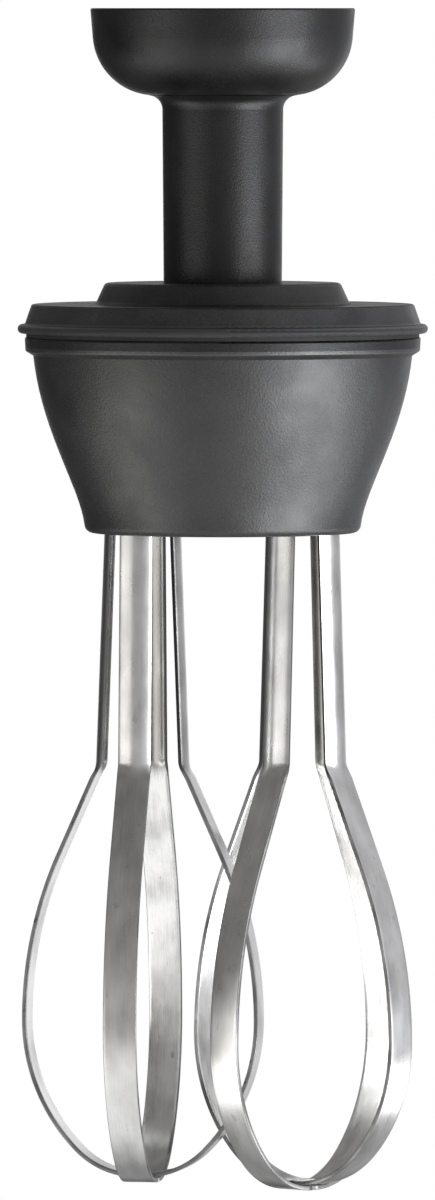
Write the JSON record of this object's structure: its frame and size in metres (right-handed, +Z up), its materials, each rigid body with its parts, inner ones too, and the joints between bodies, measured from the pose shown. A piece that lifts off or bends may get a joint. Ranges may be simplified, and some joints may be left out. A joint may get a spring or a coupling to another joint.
{
  "type": "twin whisk attachment",
  "caption": "Stick mixer attachment: bayonet cup and neck on a round gearbox that turns crossed strap whisks against each other through spur gears.",
  "frame": {"origin": "centre of the coupling cup's rim", "axes": "+Z up along the neck, out of the cup towards the motor unit; whisks hang towards -Z, side by side along X; the front, as pictured, faces -Y"},
  "size_m": [0.0862, 0.0862, 0.2484],
  "materials": {
    "black_moulding": "fine matte",
    "grey_moulding": "fine satin grain",
    "strap_steel": "rolled satin",
    "turned_steel": "ground",
    "spring_steel": "blued",
    "screw_steel": "zinc plated",
    "sintered_bronze": "sintered",
    "gear_moulding": "natural acetal",
    "pinion_brass": "cut",
    "driver_moulding": "glass filled",
    "black_rubber": "moulded"
  },
  "bodies": {
    "housing": {"coupling_neck": "black_moulding", "neck_screws": "screw_steel", "gearbox_cover": "black_moulding", "cover_gasket": "black_rubber", "gearbox_bowl": "grey_moulding", "upper_shaft_bush": "sintered_bronze", "lower_shaft_bush": "sintered_bronze", "idler_axle": "turned_steel", "idler_clip": "spring_steel", "left_spindle_bush": "sintered_bronze", "right_spindle_bush": "sintered_bronze", "left_lip_seal": "black_rubber", "right_lip_seal": "black_rubber"},
    "input": {"drive_coupling": "driver_moulding", "coupling_pin": "turned_steel", "input_shaft": "turned_steel", "input_pinion": "pinion_brass", "pinion_clip": "spring_steel"},
    "idler": {"idler_gear": "gear_moulding"},
    "left_whisk": {"left_whisk_gear": "gear_moulding", "left_gear_clip": "spring_steel", "left_spindle": "turned_steel", "left_hub": "driver_moulding", "left_ferrule": "turned_steel", "left_inner_loop": "strap_steel", "left_outer_loop": "strap_steel"},
    "right_whisk": {"right_whisk_gear": "gear_moulding", "right_gear_clip": "spring_steel", "right_spindle": "turned_steel", "right_hub": "driver_moulding", "right_ferrule": "turned_steel", "right_inner_loop": "strap_steel", "right_outer_loop": "strap_steel"}
  },
  "joints": [
    {"name": "left_whisk_spin", "type": "hinge", "parent": "housing", "child": "left_whisk", "pos_m": [-0.0168, 0, -0.08], "axis": [0, 0, 1], "continuous": true},
    {"name": "right_whisk_spin", "type": "hinge", "parent": "housing", "child": "right_whisk", "pos_m": [0.0168, 0, -0.08], "axis": [0, 0, 1], "continuous": true},
    {"name": "idler_spin", "type": "hinge", "parent": "housing", "child": "idler", "pos_m": [-0.00483, 0.01941, -0.08], "axis": [0, 0, 1], "continuous": true},
    {"name": "input_spin", "type": "hinge", "parent": "housing", "child": "input", "pos_m": [0, 0, -0.08], "axis": [0, 0, 1], "continuous": true}
  ],
  "couplings": [
    {"joint": "right_whisk_spin", "follows": "left_whisk_spin", "ratio": -1},
    {"joint": "idler_spin", "follows": "left_whisk_spin", "ratio": -2.8},
    {"joint": "input_spin", "follows": "left_whisk_spin", "ratio": 6.5333}
  ]
}
